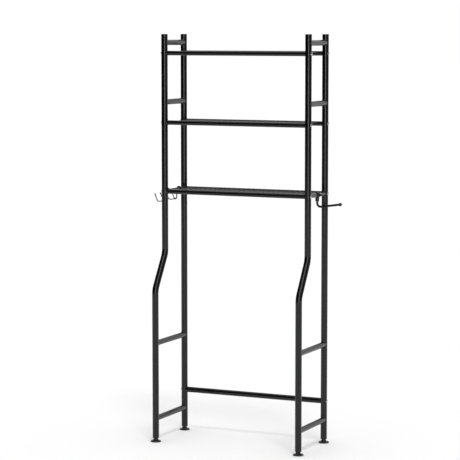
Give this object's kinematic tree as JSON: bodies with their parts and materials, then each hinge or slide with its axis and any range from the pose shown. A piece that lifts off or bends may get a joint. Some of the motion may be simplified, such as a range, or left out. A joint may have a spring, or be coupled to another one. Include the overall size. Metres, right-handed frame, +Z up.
{
  "type": "over the toilet storage rack",
  "caption": "Tall free-standing metal rack that straddles a toilet: open wire shelves above, bent front legs, levelling feet, towel hooks and a paper holder arm.",
  "frame": {"origin": "on the floor, in the middle of the rack's bounding box", "axes": "+Z up, +X to the right seen from the front, +Y from the front to the wall"},
  "size_m": [0.7588, 0.299, 1.6],
  "materials": {
    "frame_coat": "satin-gloss black powder coat",
    "black_plastic": "moulded black plastic",
    "black_zinc": "black zinc plate",
    "zinc_steel": "bright zinc plate"
  },
  "bodies": {
    "rack": {"post_front_left": "frame_coat", "post_front_right": "frame_coat", "post_rear_left": "frame_coat", "post_rear_right": "frame_coat", "leg_front_left": "frame_coat", "leg_front_right": "frame_coat", "leg_rear_left": "frame_coat", "leg_rear_right": "frame_coat", "rung_top_left": "frame_coat", "rung_top_right": "frame_coat", "rung_middle_left": "frame_coat", "rung_middle_right": "frame_coat", "rung_hooks_left": "frame_coat", "rung_holder_right": "frame_coat", "leg_rung_upper_left": "frame_coat", "leg_rung_upper_right": "frame_coat", "leg_rung_lower_left": "frame_coat", "leg_rung_lower_right": "frame_coat", "rear_brace": "frame_coat", "shelf_top_front_bar": "frame_coat", "shelf_top_rear_bar": "frame_coat", "shelf_top_wires": "frame_coat", "shelf_middle_front_bar": "frame_coat", "shelf_middle_rear_bar": "frame_coat", "shelf_middle_wires": "frame_coat", "shelf_bottom_front_bar": "frame_coat", "shelf_bottom_rear_bar": "frame_coat", "shelf_bottom_wires": "frame_coat", "cap_front_left": "black_plastic", "cap_front_right": "black_plastic", "cap_rear_left": "black_plastic", "cap_rear_right": "black_plastic", "frame_bolts": "zinc_steel", "shelf_bar_nuts": "zinc_steel", "brace_nuts": "zinc_steel", "foot_insert_front_left": "black_plastic", "foot_insert_front_right": "black_plastic", "foot_insert_rear_left": "black_plastic", "foot_insert_rear_right": "black_plastic", "holder_clamp_base": "black_plastic", "holder_clamp_top": "black_plastic", "holder_screws": "zinc_steel", "holder_arm": "frame_coat", "holder_end_ball": "black_plastic"},
    "foot_pad_front_left": {"foot_pad_front_left": "black_plastic"},
    "foot_stud_front_left": {"foot_stud_front_left": "black_zinc"},
    "foot_pad_front_right": {"foot_pad_front_right": "black_plastic"},
    "foot_stud_front_right": {"foot_stud_front_right": "black_zinc"},
    "foot_pad_rear_left": {"foot_pad_rear_left": "black_plastic"},
    "foot_stud_rear_left": {"foot_stud_rear_left": "black_zinc"},
    "foot_pad_rear_right": {"foot_pad_rear_right": "black_plastic"},
    "foot_stud_rear_right": {"foot_stud_rear_right": "black_zinc"},
    "towel_hook_front": {"towel_hook_front": "frame_coat"},
    "towel_hook_rear": {"towel_hook_rear": "frame_coat"}
  },
  "joints": [
    {"name": "foot_height_front_left", "type": "slide", "parent": "rack", "child": "foot_pad_front_left", "axis": [0, 0, -1], "range_m": [0, 0.00875]},
    {"name": "foot_screw_front_left", "type": "hinge", "parent": "foot_pad_front_left", "child": "foot_stud_front_left", "pos_m": [-0.33176, -0.129, 0], "axis": [0, 0, -1], "range_deg": [0, 2520]},
    {"name": "foot_height_front_right", "type": "slide", "parent": "rack", "child": "foot_pad_front_right", "axis": [0, 0, -1], "range_m": [0, 0.00875]},
    {"name": "foot_screw_front_right", "type": "hinge", "parent": "foot_pad_front_right", "child": "foot_stud_front_right", "pos_m": [0.27724, -0.129, 0], "axis": [0, 0, -1], "range_deg": [0, 2520]},
    {"name": "foot_height_rear_left", "type": "slide", "parent": "rack", "child": "foot_pad_rear_left", "axis": [0, 0, -1], "range_m": [0, 0.00875]},
    {"name": "foot_screw_rear_left", "type": "hinge", "parent": "foot_pad_rear_left", "child": "foot_stud_rear_left", "pos_m": [-0.33176, 0.129, 0], "axis": [0, 0, -1], "range_deg": [0, 2520]},
    {"name": "foot_height_rear_right", "type": "slide", "parent": "rack", "child": "foot_pad_rear_right", "axis": [0, 0, -1], "range_m": [0, 0.00875]},
    {"name": "foot_screw_rear_right", "type": "hinge", "parent": "foot_pad_rear_right", "child": "foot_stud_rear_right", "pos_m": [0.27724, 0.129, 0], "axis": [0, 0, -1], "range_deg": [0, 2520]},
    {"name": "towel_hook_slide_front", "type": "slide", "parent": "rack", "child": "towel_hook_front", "axis": [0, 1, 0], "range_m": [-0.008, 0.014]},
    {"name": "towel_hook_slide_rear", "type": "slide", "parent": "rack", "child": "towel_hook_rear", "axis": [0, 1, 0], "range_m": [-0.026, 0.029]}
  ],
  "couplings": [
    {"joint": "foot_height_front_left", "follows": "foot_screw_front_left", "m_per_rad": 0.00019894},
    {"joint": "foot_height_front_right", "follows": "foot_screw_front_right", "m_per_rad": 0.00019894},
    {"joint": "foot_height_rear_left", "follows": "foot_screw_rear_left", "m_per_rad": 0.00019894},
    {"joint": "foot_height_rear_right", "follows": "foot_screw_rear_right", "m_per_rad": 0.00019894}
  ]
}
